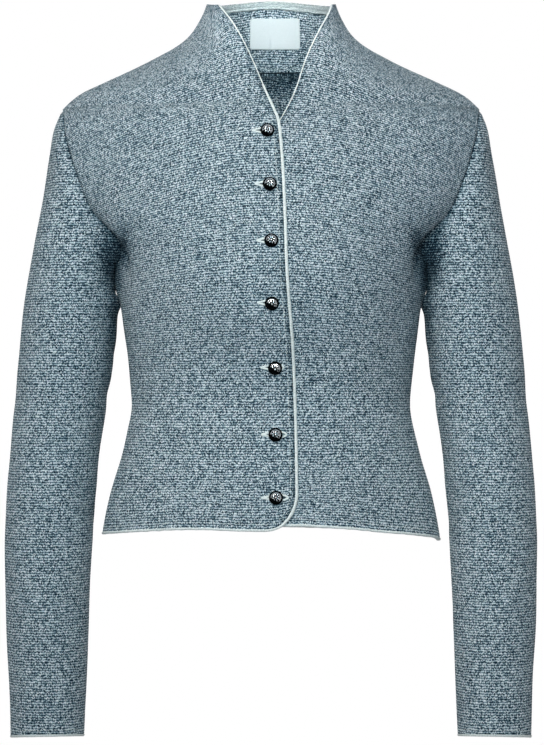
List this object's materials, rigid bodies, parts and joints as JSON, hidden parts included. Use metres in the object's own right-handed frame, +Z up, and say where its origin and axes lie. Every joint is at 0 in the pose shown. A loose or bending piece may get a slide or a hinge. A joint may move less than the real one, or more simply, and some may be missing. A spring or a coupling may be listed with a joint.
{
  "type": "trachten cardigan",
  "caption": "Fitted felted-knit cardigan, worn form and hollow: stand collar, V neck, button front, set-in long sleeves and pale edging.",
  "frame": {"origin": "base of the neck, midway between the shoulder seams, where the wearer's shoulders hold it", "axes": "+X to the wearer's left, +Y to the wearer's back, +Z up"},
  "size_m": [0.5108, 0.2469, 0.7161],
  "materials": {
    "felt": "felted wool knit, speckled blue-grey",
    "trim": "fine wool knit, pale grey",
    "woven": "woven satin, white",
    "metal": "antique silver, dark in the hollows"
  },
  "bodies": {
    "root": {"front_right": "felt", "front_left": "felt", "back": "felt", "collar_back": "felt", "sleeve_right": "felt", "sleeve_left": "felt", "edging_front_right": "trim", "edging_front_left": "trim", "edging_hem_back": "trim", "edging_cuff_right": "trim", "edging_cuff_left": "trim", "band_collar": "trim", "label": "woven", "button_1": "metal", "button_2": "metal", "button_3": "metal", "button_4": "metal", "button_5": "metal", "button_6": "metal", "button_7": "metal"}
  },
  "joints": []
}
